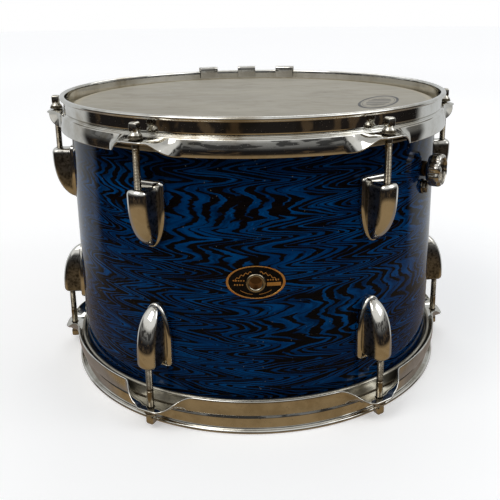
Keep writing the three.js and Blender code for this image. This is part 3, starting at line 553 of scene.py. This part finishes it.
# ---------------------------------------------------------------- shell covering
def add_wrap():
    low, high = WRAP_SETBACK, HEIGHT - WRAP_SETBACK
    inner, chamfered = SHELL_RADIUS - WRAP_THICKNESS, SHELL_RADIUS - 0.15
    side = [(chamfered, low), (SHELL_RADIUS, low + 0.25)]
    side += [(SHELL_RADIUS, z) for z in np.linspace(low + 4, high - 4, 48)]
    side += [(SHELL_RADIUS, high - 0.25), (chamfered, high)]
    back = [(inner, z) for z in np.linspace(high, low, 12)]
    mesh = mesh_of("shell_wrap_covering", lathe(side + back, 360))
    holes = [(BADGE_Z, 0.0, 6.2), (SHAFT_Z, MUFFLER_AZIMUTH, 5.1), (BOLT_Z, MUFFLER_AZIMUTH, 2.7)]
    mesh = boolean(mesh, [outward(rod_bar(r, 160, 170, 40), z, azimuth) for z, azimuth, r in holes], sharp=50)
    unroll(mesh)
    piece("shell_wrap_covering", mesh, WRAP, "shell_covering", "shell_wrap")


def unroll(mesh):
    """A UV layer in metres, round the shell and up it, with no face across the join at the back."""
    layer = mesh.uv_layers.new(name="around")
    for polygon in mesh.polygons:
        middle = math.atan2(polygon.center.x, -polygon.center.y)
        for loop in polygon.loop_indices:
            p = mesh.vertices[mesh.loops[loop].vertex_index].co
            angle = math.atan2(p.x, -p.y)
            angle += 2 * math.pi * round((middle - angle) / (2 * math.pi))
            layer.data[loop].uv = (angle * SHELL_RADIUS * MM, p.z)


# ---------------------------------------------------------------- heads and flesh hoops
def film_shape():
    """Film that rolls over the shell's edge into its collar, as [radius, depth] turned round the axis."""
    top, foot = 8.7, 24.2
    outer = fillet([(AXIS, top), (159.6, top), (163.4, top + 1.2), (165.55, top + 5.5), (165.65, foot)],
                   [3, 4, 3], 6)
    inner = fillet([(165.15, foot), (165.1, top + 5.7), (163.0, top + 1.75), (159.4, top + 0.5),
                    (AXIS, top + 0.5)], [3, 4, 3], 6)
    spread = [(r, top) for r in (20, 60, 100, 130, 150)]
    return lathe(np.concatenate([outer[:1], spread, outer[1:], inner]), 256)


def flesh_hoop_shape():
    """Channel that grips the film, rolled round at its lower end."""
    inside, outside, bead, bead_radius = 166.1, 169.55, (167.8, 25.85), 1.8
    channel = [(169.0, 24.0), (169.0, 19.0), (outside, 18.3), (outside, 17.9), (inside, 17.9), (inside, 18.6)]
    channel += [(167.6, 19.2), (167.6, 23.6)]
    angles = np.radians(np.linspace(235, -50, 22))
    roll = [(bead[0] + bead_radius * math.cos(a), bead[1] + bead_radius * math.sin(a)) for a in angles]
    return lathe(channel + roll, 256)


def add_head(name, upper, film):
    shapes = film_shape(), flesh_hoop_shape()
    if upper:
        shapes = [at_upper_end(shape) for shape in shapes]
    piece(f"{name}_head_film", shapes[0], film, "head_film", f"{name}_head")
    piece(f"{name}_flesh_hoop_channel", shapes[1], ALUMINIUM, "flesh_hoop_aluminium", f"{name}_flesh_hoop")


# ---------------------------------------------------------------- hoops
def hoop_section(distance):
    """[radius, depth] points of the pressed sheet at a distance along the ledge from the nearest rod: rolled
    rim, wall, grooved ledge, and a flap that is a level ear at the rod and a skirt away from it."""

    def smooth(start, end):
        t = min(1, max(0, (distance - start) / (end - start)))
        return t * t * (3 - 2 * t)

    def arc(x, y, radius, degrees):
        return [(x + radius * math.cos(t), y + radius * math.sin(t)) for t in np.radians(degrees)]

    wall_top, rim_inside, lip, bead = 3.75, 168.15, 1.5, 1.65
    ear_reach, ear_angle, skirt_angle = 15, 5, 84
    shoulder, twist = smooth(EAR_HALF, EAR_HALF + 6), smooth(7, SCALLOP_END) ** 1.2
    angle = math.radians(ear_angle + (skirt_angle - ear_angle) * twist)
    along_flap = np.array((math.cos(angle), math.sin(angle)))
    off_flap = np.array((math.sin(angle), -math.cos(angle)))
    foot, edge = np.array((168.6, 14.4)), np.array((HOOP_RADIUS, 16.0))
    tip = edge + (ear_reach - 2.6 * shoulder) * along_flap
    bulge = edge + (tip - edge) * 0.45 + 0.55 * twist * off_flap
    groove = [foot + (edge - foot) * t for t in (0.36, 0.45, 0.54)]
    line = [(169.75, wall_top), (169.74, 4.0), (169.5, 12.2), foot, *groove, edge, bulge, tip]
    line = fillet(line, [0, 2.0, 0.4, 0, 0, 0, 1.3, 24], 6)
    along, left = sides_of(line)
    back = line + left * SHEET
    back[0] = (rim_inside, wall_top)
    line[np.abs(line - groove[1]).sum(1) < 1e-6] += (0, 0.3)
    middle, half = (line[-1] + back[-1]) / 2, SHEET / 2
    end = [middle - left[-1] * half * math.cos(t) + along[-1] * half * math.sin(t) * 0.9
           for t in np.radians(np.linspace(0, 180, 7))[1:-1]]
    rim_roll = arc(171.15, bead, bead, np.linspace(-90, 90, 10))
    rim_lip = arc(rim_inside + lip, lip, -lip, (0, 30, 60, 90))
    return np.array([*line, *end, *back[::-1], *rim_lip, *rim_roll, (170.15, 3.05)])


def hoop_mesh(name, upper):
    """The hoop's section carried round, with close steps where the ears turn into the skirt, and its holes."""
    near = np.concatenate([np.arange(0, EAR_HALF, 1.3), np.arange(EAR_HALF, SCALLOP_END + 1.5, 0.85)])
    near = near / HOOP_RADIUS
    half = np.concatenate([near, np.linspace(near[-1], math.pi / RODS, 24)[1:]])
    offsets = np.concatenate([-half[1:-1][::-1], half])
    rings, bars = [], []
    for rod in range(RODS):
        azimuth = FIRST_ROD + ROD_STEP * rod
        for offset in offsets:
            section = hoop_section(abs(offset) * HOOP_RADIUS)
            a = math.radians(FIRST_ROD) + rod * 2 * math.pi / RODS + offset
            rings.append(np.c_[section[:, 0] * math.sin(a), -section[:, 0] * math.cos(a), section[:, 1]])
        bars.append(turn(moved(rod_bar(ROD_HOLE, 13, 24, 32), y=-ROD_CIRCLE), azimuth))
    mesh = boolean(mesh_of(name, loft(rings, endless=True), 50), bars, sharp=50)
    if upper:
        mirror_to_upper_end(mesh)
    return mesh


# ---------------------------------------------------------------- lugs
def flange_half(along):
    """Half width of a lug's flange at a distance from its hoop end."""
    past = max(0.0, (along - LUG_STRAIGHT) / (LUG_LENGTH - LUG_STRAIGHT))
    return LUG_HALF * math.sqrt(max(0.0, 1 - past ** 2))


def nose_section(along, narrow, lower):
    """Section of a lug's nose: a U with a crowned front that spreads over the flange towards the tip."""
    full_half, full_height, tip = 8.4, 22.3, 51
    taper = min(1.0, max(0.0, (along - 10) / (tip - 10)))
    waist = max(0.0, (along - 15) / (tip - 15))
    half = max(full_half * (1 - waist ** 2.6) ** 0.5 - narrow, 0.05)
    height = max(full_height * math.sqrt(max(0.0, 1 - taper ** 2.2)) - lower, 0.2)
    spread = max(0.0, (taper - 0.25) / 0.75)
    foot = half + 1.8 * math.sqrt(max(0.0, 1 - taper ** 3))
    foot += max(0.0, flange_half(along) - 0.7 - foot) * spread
    half += (foot - half) * 0.5 * spread
    base = -0.5 if height > 1 else -0.05
    crown = min(half * 0.72, height * 0.8)
    front = [(half * math.cos(t), height - crown + crown * math.sin(t) ** 0.85)
             for t in np.radians(np.linspace(180, 0, 21))]
    crown_foot = front[0][1]
    side = [(half + (foot - half) * (1 - t) ** (2.2 - spread), base + (crown_foot - base) * t)
            for t in (0, 0.12, 0.25, 0.4, 0.6, 0.8)]
    line = [(-x, out) for x, out in side] + front + side[::-1]
    return np.array([(x, -SEAT_RADIUS - out, LUG_START + along) for x, out in line])


def lug_flange():
    """Rounded plate against the shell, from its square hoop end to its half-elliptic tip."""
    square_end = [(-LUG_HALF, 26), (-LUG_HALF, 0), (LUG_HALF, 0), (LUG_HALF, 26)]
    outline = list(rounded(square_end, [0, 3.6, 3.6, 0], 8)[1:-1])
    for t in np.linspace(0, math.pi, 41):
        outline.append((LUG_HALF * math.cos(t), LUG_STRAIGHT + (LUG_LENGTH - LUG_STRAIGHT) * math.sin(t)))
    outline = np.array(outline)
    along = np.roll(outline, -1, 0) - np.roll(outline, 1, 0)
    along /= np.linalg.norm(along, axis=1)[:, None]
    inward = np.c_[-along[:, 1], along[:, 0]]
    round_off = 2.2
    steps = [(0.35, 0.0), (0, 0.3), (0, round_off)]
    steps += [(round_off * (1 - math.cos(t)), round_off + round_off * math.sin(t))
              for t in np.radians((18, 36, 54, 72, 90))]
    rings = []
    for inset, out in steps + [(3.0, 4.55)]:
        p = outline + inward * inset
        rings.append(np.c_[p[:, 0], np.full(len(p), -SEAT_RADIUS - out), LUG_START + p[:, 1]])
    return loft(rings)


def lug_nose():
    """Nose with a rounded shoulder at its hoop end, closer stations towards its tip."""
    shoulder = [(3.4 + 4.2 * (1 - math.cos(t)), 1 - math.sin(t)) for t in np.radians(np.linspace(0, 90, 9))]
    straight = [(along, 0) for along in (*range(11, 39, 3), 40.5, 43, 45, 46.6, 48, 49.2, 50, 50.6, 50.95)]
    return loft([nose_section(along, 4.8 * soft, 3.4 * soft) for along, soft in shoulder + straight])


def lug_cavity():
    """Hollow for the swivel nut, open towards the shell."""
    section = fillet([(-5.4, -0.3), (-5.4, 20.5), (5.4, 20.5), (5.4, -0.3)], [4.6, 4.6], 8)
    return loft([[(x, -SEAT_RADIUS - out, LUG_START + along) for x, out in section] for along in (5.4, 26.9)])


def lug_mesh(upper):
    bore = moved(rod_bar(ROD_HOLE, LUG_START - 1, LUG_START + 7, 32), y=-ROD_CIRCLE)
    mesh = boolean(mesh_of("lug", lug_flange(), 35), [lug_nose()], "UNION", 35)
    mesh = boolean(mesh, [lug_cavity(), bore], sharp=35)
    if upper:
        mirror_to_upper_end(mesh)
    return mesh


# ---------------------------------------------------------------- rods
def square(half, z, round_off):
    outline = rounded([(-half, -half), (half, -half), (half, half), (-half, half)], round_off, 4)
    return np.c_[outline, np.full(len(outline), z)]


def rod_shank(thread_start):
    """Plain shank with an undercut, then the thread as a helical wave of the radius, then a blunt tip."""
    angle = np.linspace(0, 2 * np.pi, 20, endpoint=False)
    cut, step = 0.42, THREAD_PITCH / 6

    def ring(radius, z):
        return np.c_[radius * np.cos(angle), radius * np.sin(angle), np.full(len(angle), z)]

    undercut = ROD_RADIUS - 0.35
    rings = [ring(2.4, 12.5), ring(ROD_RADIUS, 13.0), ring(ROD_RADIUS, thread_start - 1.2)]
    rings += [ring(undercut, thread_start - 0.9), ring(undercut, thread_start - 0.35)]
    rings += [ring(ROD_RADIUS - 0.15, thread_start)]
    for z in np.arange(thread_start + step, ROD_TIP - 1, step):
        wave = np.abs(((z / THREAD_PITCH - angle / (2 * np.pi)) % 1) * 2 - 1)
        rings.append(ring(ROD_RADIUS - cut * (1 - wave) * min(1, (z - thread_start) / 2), z))
    return loft(rings + [ring(2.2, ROD_TIP - 0.4), ring(1.7, ROD_TIP)])


def rod_head():
    """Square head with a softened top, on its round collar."""
    top = 4.15
    levels = [(1.3, top, 1.0), (0.6, top + 0.2, 1.0), (0.15, top + 0.8, 0.9), (0, top + 1.6, 0.8)]
    levels += [(0, 9.8, 0.8), (0.1, 10.8, 1.0)]
    head = loft([square(HEAD_HALF - inset, z, round_off) for inset, z, round_off in levels])
    collar = rounded([(1.5, 10.2), (3.1, 10.2), (3.6, 11.8), (4.9, 13.3), (4.9, 13.85), (1.5, 13.85)],
                     [0, 0.4, 1.2, 0.3, 0.2, 0], 4)
    return merged(head, lathe(collar, 40))


def rod_washers():
    """A small washer on a wider one."""
    small, wide = (2.9, 5.2, 13.95, 14.85, 0.3), (2.9, 5.7, 14.95, 15.9, 0.35)
    washers = []
    for hole, edge, top, foot, softened in (small, wide):
        washers.append(lathe(rounded([(hole, top), (edge, top), (edge, foot), (hole, foot)], softened, 3), 40))
    return merged(*washers)


def add_tensioning():
    for end, thread_start in (("upper", 23.5), ("lower", 33.5)):
        lug = lug_mesh(end == "upper")
        shapes = {"rod_shank": rod_shank(thread_start), "rod_head": rod_head(), "rod_washers": rod_washers()}
        meshes = []
        for name, shape in shapes.items():
            shape = moved(shape, y=-ROD_CIRCLE)
            meshes.append(mesh_of(name, at_upper_end(shape) if end == "upper" else shape))
        shank, head, washers = meshes
        for i in range(1, RODS + 1):
            azimuth = FIRST_ROD + ROD_STEP * (i - 1)
            rod, casing = f"tension_rod_{end}_{i}", f"lug_casing_{end}_{i}"
            piece(f"lug_{end}_{i}", lug, LUG_CHROME, "lug_chrome", casing, azimuth=azimuth)
            piece(f"rod_shank_{end}_{i}", shank, ROD_STEEL, "rod_steel", rod, azimuth=azimuth)
            for name, mesh, material in (("rod_head", head, ROD_CAP), ("rod_washers", washers, WASHER)):
                piece(f"{name}_{end}_{i}", mesh, material, "rod_steel", azimuth=azimuth, body=BODY_OF[rod])


# ---------------------------------------------------------------- badge and vent
def on_shell(x, z, out):
    """Points at an arc length x from the badge's middle, z above it, and out from the covering."""
    a, r = np.asarray(x, float) / SHELL_RADIUS, SHELL_RADIUS + np.asarray(out, float)
    return np.stack(np.broadcast_arrays(r * np.sin(a), -r * np.cos(a), BADGE_Z + np.asarray(z, float)), -1)


def ribbon(points, width, low, high):
    """A thin raised strip along a line of (x, z) points on the badge."""
    points = np.array(points, float)
    side = sides_of(points)[1] * (np.asarray(width).reshape(-1, 1) / 2)
    rings = []
    for a, b in zip(points + side, points - side):
        rings.append(np.array([on_shell(*a, low), on_shell(*a, high), on_shell(*b, high), on_shell(*b, low)]))
    return loft(rings)


def badge_ornament():
    """Plain scrolls, arcs, a bar, and rows of dots and dashes."""
    low, high, thin = 0.8, 1.0, np.full(24, 0.35)
    details = [ribbon([(x, -1.6) for x in np.linspace(8.2, 18.6, 12)], 2.7, low, 1.12)]
    for side in (-1, 1):
        x = np.linspace(3.2, 15.5, 34)
        scroll = 8.3 - 0.028 * x * x + 0.75 * np.sin(x * 1.9)
        details.append(ribbon(np.c_[side * x, scroll], 0.35 + 0.25 * np.sin(x * 1.9 + 0.8) ** 2, low, 1.05))
        arc = np.linspace(0.16, 0.86, 24)
        details.append(ribbon(np.c_[side * 15.2 * np.sin(arc), -9.6 * np.cos(arc)], thin, low, high))
    step, half = 1.9, 0.5
    for middle, z, count in [(-12.6, 1.2, 5), (-12.6, -2.1, 4), (12.8, 1.7, 5)]:
        for k in range(count):
            x = middle + (k - (count - 1) / 2) * step
            details.append(ribbon([(x - half, z), (x, z + 0.12), (x + half, z)], np.full(3, 1.0), low, high))
    return details


def add_badge():
    t = np.linspace(0, 2 * np.pi, 96, endpoint=False)

    def ring(share, out):
        """An oval that grows from the vent's hole to the badge's edge."""
        half_x, half_z = (VENT_RADIUS + (half - VENT_RADIUS) * share for half in BADGE_HALF)
        return on_shell(np.cos(t) * half_x, np.sin(t) * half_z, out)

    levels = [(0, 0.3), (0, 0.85)] + [(share, 0.85) for share in np.linspace(0.15, 0.9, 8)]
    levels += [(0.93, 0.85), (0.97, 1.1), (1, 0.95), (1, 0.3)]
    plate = loft([ring(*level) for level in levels], endless=True)
    piece("badge_plate", plate, ENAMEL, "badge_enamel", "badge")
    rim_levels = [(0.885, 0.88), (0.9, 1.12), (0.96, 1.2), (0.998, 1.12), (1.0, 0.9)]
    rim = loft([ring(*level) for level in rim_levels], endless=True)
    piece("badge_brass_trim", merged(rim, *badge_ornament()), GILT, "badge_enamel", body="shell")
    lip = rounded([(4.9, 157.0), (4.9, 167.8), (7.3, 167.8), (7.3, 166.3), (5.9, 166.3), (5.9, 157.0)],
                  [0.2, 1.0, 0.9, 0.4, 0.3, 0.2], 6)
    piece("vent_grommet_ring", outward(lathe(lip, 64), BADGE_Z), VENT_CHROME, "vent_chrome", "vent_grommet")


# ---------------------------------------------------------------- damper
def knob_shape():
    """Scalloped knob along its own axis, z from its back: rounded rim, dished face with a centre boss."""
    t = np.linspace(0, 2 * np.pi, 128, endpoint=False)
    flute = 0.5 + 0.5 * np.cos(8 * t)
    rng = np.random.default_rng(7)
    dents = sum(rng.normal(0, 0.035) * np.cos(k * t + rng.uniform(0, 6.3)) for k in range(3, 30))

    def ring(radius, z, fluting):
        dented = dents if radius > 12.5 else 0.0
        r = radius - 1.35 * fluting * flute ** 1.6 + dented
        return np.c_[r * np.cos(t), r * np.sin(t), np.full(128, z)]

    socket = [(0.05, 5.2, 0), (3.3, 5.2, 0), (3.3, 0.0, 0)]
    back = [(9.0, 0.0, 0.1), (12.2, 0.4, 0.7), (13.2, 1.4, 0.95), (13.45, 2.6, 1)]
    side = [(13.5, z, 1) for z in (4, 5.5, 7, 8.2)]
    rim = [(13.4, 9.3, 1), (13.0, 10.2, 0.9), (12.3, 10.8, 0.75), (11.5, 11.0, 0.6), (10.9, 10.7, 0.5)]
    dish = [(10.5, 9.9, 0.4), (10.2, 8.9, 0.3), (9.0, 8.4, 0.1), (4.0, 8.2, 0)]
    boss = [(3.2, 8.6, 0), (2.6, 9.2, 0), (1.2, 9.5, 0), (0.05, 9.5, 0)]
    return loft([ring(*level) for level in socket + back + side + rim + dish + boss])


def add_knob():
    knob = outward(moved(knob_shape(), z=170.4), SHAFT_Z, MUFFLER_AZIMUTH)
    piece("muffler_knob_scalloped", knob, KNOB_CHROME, "knob_chrome", "muffler_knob")
    bush = rounded([(3.3, 158.0), (3.3, 170.0), (4.9, 170.0), (5.3, 168.4), (6.4, 167.2), (6.4, 165.1),
                    (4.8, 165.1), (4.8, 158.0)], [0, 0.3, 0.6, 0.6, 0.6, 0.2, 0, 0.2], 4)
    bush = outward(lathe(bush, 56), SHAFT_Z, MUFFLER_AZIMUTH)
    piece("muffler_bush_turned", bush, BRONZE, "muffler_bronze", "muffler_bush")


def add_bolt():
    """Square-headed bolt on a washer, turned to stand on a corner."""
    washer = rounded([(2.0, 165.1), (6.2, 165.1), (6.2, 166.2), (5.2, 166.6), (2.0, 166.6)],
                     [0, 0.2, 0.4, 0.4, 0], 4)
    levels = [(3.9, 166.4, 0.5), (3.9, 168.6, 0.5), (3.5, 169.1, 0.7), (2.0, 169.55, 0.9), (0.6, 169.65, 0.3)]
    head = turn(loft([square(*level) for level in levels]), 45)
    bolt = outward(merged(lathe(washer, 48), head, rod_bar(2.4, 148, 167, 24)), BOLT_Z, MUFFLER_AZIMUTH)
    piece("muffler_bolt_head", bolt, BOLT_STEEL, "muffler_bronze", "muffler_bolt")


def add_felt():
    """Felt disc on the damper's arm, in the middle of the CAD pad and tilted with it."""
    arm_tilt = -12.5
    corners = np.array([v.co for v in frame["nodes"]["muffler_felt_pad"].data.vertices]) / MM
    centre = (corners.max(0) + corners.min(0)) / 2
    section = [(AXIS, -PAD_HALF), (PAD_RADIUS, -PAD_HALF), (PAD_RADIUS, PAD_HALF), (AXIS, PAD_HALF)]
    section = rounded(section, [0, 1.6, 2.2, 0], 6)
    section[section[:, 1] > PAD_HALF - 0.1, 1] += 0.25
    points, faces = lathe(section, 96)
    tilted = Matrix.Rotation(math.radians(arm_tilt), 3, "X")
    tilted = Matrix.Rotation(math.radians(MUFFLER_AZIMUTH), 3, "Z") @ tilted
    points = points @ np.array(tilted).T + centre
    felt = piece("muffler_felt_disc", (points, faces), FELT, "muffler_felt", "muffler_felt_pad")


# ---------------------------------------------------------------- rim clips
def add_clips():
    """Bent plates that stand over the rim, with softened side edges."""
    inside, outside, under = 166.77, 173.1, HEIGHT + 4.4 - CLIP_SHEET
    line = [(inside, HEIGHT - 7.4), (inside, under), (outside, under), (outside, HEIGHT - 6)]
    line = fillet(line, [1.1, 1.1], 7)
    left = sides_of(line)[1]
    half_sheet = CLIP_SHEET / 2
    section = np.concatenate([line, (line + left * CLIP_SHEET)[::-1]])
    middle = np.concatenate([line + left * half_sheet, (line + left * half_sheet)[::-1]])
    ends = [(CLIP_HALF - 0.4, 0), (CLIP_HALF - 0.15, 0.1), (CLIP_HALF, 0.28)]
    stations = [(-x, shrink) for x, shrink in ends[::-1]] + [(-5, 0), (0, 0), (5, 0)] + ends
    rings = []
    for x, shrink in stations:
        p = section + (middle - section) * shrink / half_sheet
        rings.append(np.c_[np.full(len(p), x), -p[:, 0], p[:, 1]])
    mesh = mesh_of("rim_clip", loft(rings), 30)
    for i, azimuth in enumerate(CLIPS, 1):
        piece(f"rim_clip_bent_{i}", mesh, CLIP_CHROME, "clip_chrome", f"rim_clip_{i}", azimuth=azimuth)


# ---------------------------------------------------------------- CAD nodes that stay
def colour_kept_nodes():
    wood = ("shell_plies", "upper_reinforcement_ring", "lower_reinforcement_ring")
    steel = ("muffler_cam_shaft", "muffler_bracket", "muffler_pivot_pin", "muffler_arm")
    brass = [f"swivel_nut_{end}_{i}" for end in ("upper", "lower") for i in range(1, RODS + 1)]
    for material, names in ((WOOD, wood), (STEEL, steel), (BRASS, brass)):
        for name in names:
            node = frame["nodes"][name]
            node.data.materials.clear()
            node.data.materials.append(material)


add_wrap()
add_head("batter", True, FILM)
add_head("resonant", False, FILM_LOWER)
piece("batter_hoop_pressed", hoop_mesh("hoop_up", True), CHROME, "hoop_chrome", "batter_hoop")
piece("resonant_hoop_pressed", hoop_mesh("hoop_down", False), CHROME, "hoop_chrome", "resonant_hoop")
add_tensioning()
add_badge()
add_knob()
add_bolt()
add_felt()
add_clips()
colour_kept_nodes()


# ---------------------------------------------------------------- camera, floor and light
def add_camera():
    """In front of the drum and above its rim, looking down at it. Metres and radians."""
    pitch, roll, yaw = 0.2602, -0.0108, 0.0115
    ahead = Vector((math.sin(yaw) * math.cos(pitch), math.cos(yaw) * math.cos(pitch), -math.sin(pitch)))
    right = Vector((math.cos(yaw), -math.sin(yaw), 0))
    up = right.cross(ahead)
    side = math.cos(roll) * right + math.sin(roll) * up
    top = math.cos(roll) * up - math.sin(roll) * right
    camera = bpy.data.objects.new("camera", bpy.data.cameras.new("camera"))
    camera.matrix_world = Matrix((side, top, -ahead)).transposed().to_4x4()
    camera.location = (0, -0.63316, 0.32244)
    camera.data.sensor_width, camera.data.lens = 36, 49.1637
    camera.data.shift_x, camera.data.shift_y = -0.024, -0.13
    camera.data.clip_start, camera.data.clip_end = 0.01, 50
    bpy.context.scene.collection.objects.link(camera)
    bpy.context.scene.camera = camera


def add_floor():
    """Pale floor that glows a little more with distance, so that it meets the white background softly."""
    bpy.ops.mesh.primitive_circle_add(vertices=96, radius=9, fill_type="NGON")
    floor = bpy.context.object
    floor.name = "studio_floor"
    s = Shader("pale_floor")
    place = s.place()
    x, y, _ = s.split(place)
    mottle = s.noise(place, 2.0, 4, 0.5)
    s.set(Base_Color=s.mix(mottle, (0.86, 0.86, 0.85), (0.9, 0.9, 0.89)), Roughness=0.8, Specular_IOR_Level=0.2)
    s.set(Emission_Color=(1, 1, 1), Emission_Strength=s.span(s.length(x, y), 0.5, 3.2, 0.33, 0.60))
    floor.data.materials.append(s.material)
    floor.visible_glossy = False


def studio_colour(s):
    """What polished parts reflect: tan below, a dark band, pale above and behind, with brown and dark patches
    on the near side. x, y and z are the parts of a unit direction."""
    direction = s.add("TexCoord", out="Generated")
    _, y, z = s.split(direction)
    stops = [(-1.0, (0.24, 0.170, 0.090)), (-0.93, (0.27, 0.190, 0.100)), (-0.56, (0.31, 0.215, 0.110)),
             (-0.385, (0.29, 0.200, 0.104)), (-0.310, (0.020, 0.016, 0.013)), (-0.15, (0.014, 0.013, 0.014)),
             (-0.06, (0.06, 0.06, 0.06)), (0.02, (0.15, 0.15, 0.148)), (0.22, (0.26, 0.26, 0.255)),
             (0.34, (0.80, 0.80, 0.79)), (0.75, (0.92, 0.92, 0.91)), (1.0, (0.55, 0.55, 0.54))]
    colour = s.add("ValToRGB", {"Fac": s.span(z, -1, 1, smooth=False)})
    ramp = colour.node.color_ramp.elements
    for at, stop in stops[1:-1]:
        ramp.new((at + 1) / 2).color = (*stop, 1)
    ramp[0].color, ramp[len(stops) - 1].color = (*stops[0][1], 1), (*stops[-1][1], 1)
    rear_wall = s.times(s.span(y, 0.30, 0.44), s.span(z, -0.47, -0.30))
    rear_floor = s.times(s.span(y, 0.0, 0.35), s.span(z, -0.30, -0.42))
    colour = s.mix(rear_wall, colour, (0.62, 0.635, 0.64))
    colour = s.mix(rear_floor, colour, (0.24, 0.205, 0.18))
    near = s.span(y, 0.30, 0.10)
    brown = s.span(s.stretched(direction, (4.4, 4.4, 9), 3, 0.6), 0.53, 0.58)
    brown = s.times(brown, near, s.span(z, -0.34, -0.28), s.span(z, -0.06, -0.12))
    colour = s.tint(colour, 0.9, brown, (0.085, 0.058, 0.034))
    dark = s.noise(s.scaled(direction, (3.6, 3.6, 7), shift=(4, 1, 2)), 1.0, 2, 0.5)
    dark = s.times(s.span(dark, 0.50, 0.53), near, s.span(z, -0.05, 0.0), s.span(z, 0.30, 0.26))
    return s.tint(colour, 0.85, dark, (0.022, 0.022, 0.023))


def add_world():
    """White to the camera, even soft light on dull surfaces, and a plain studio for polished ones."""
    world = bpy.data.worlds.new("studio")
    bpy.context.scene.world = world
    world.use_nodes = True
    s = Nodes(world.node_tree)
    s.tree.nodes.clear()
    dull = s.add("Background", {"Color": (0.93, 0.95, 1.0, 1), "Strength": 0.42})
    shine = s.add("Background", {"Color": studio_colour(s), "Strength": 1.0})
    seen = s.add("Background", {"Color": (1, 1, 1, 1), "Strength": 1.0})
    reflected = s.add("MixShader", {0: s.add("LightPath", out="Is Glossy Ray"), 1: dull, 2: shine})
    surface = s.add("MixShader", {0: s.add("LightPath", out="Is Camera Ray"), 1: reflected, 2: seen})
    s.tree.links.new(surface, s.tree.nodes.new("ShaderNodeOutputWorld").inputs["Surface"])


def add_light(name, place, size, power, colour):
    """A rectangular lamp that looks at the middle of the drum."""
    middle = Vector((0, 0, 0.13))
    lamp = bpy.data.lights.new(name, "AREA")
    lamp.shape, lamp.size, lamp.size_y = "RECTANGLE", *size
    lamp.energy, lamp.color = power, colour
    obj = bpy.data.objects.new(name, lamp)
    obj.location = place
    obj.rotation_euler = (middle - Vector(place)).to_track_quat("-Z", "Y").to_euler()
    bpy.context.scene.collection.objects.link(obj)


add_camera()
add_floor()
add_world()
add_light("key_soft", (-0.9, -0.9, 1.7), (1.1, 1.1), 13, (1.0, 0.98, 0.95))
add_light("fill_soft", (1.3, -0.5, 1.2), (0.9, 0.9), 6, (0.95, 0.97, 1.0))
add_light("rear_soft", (0.2, 1.4, 1.5), (1.4, 0.7), 7, (1.0, 1.0, 1.0))
bpy.context.scene.view_settings.view_transform = "Standard"
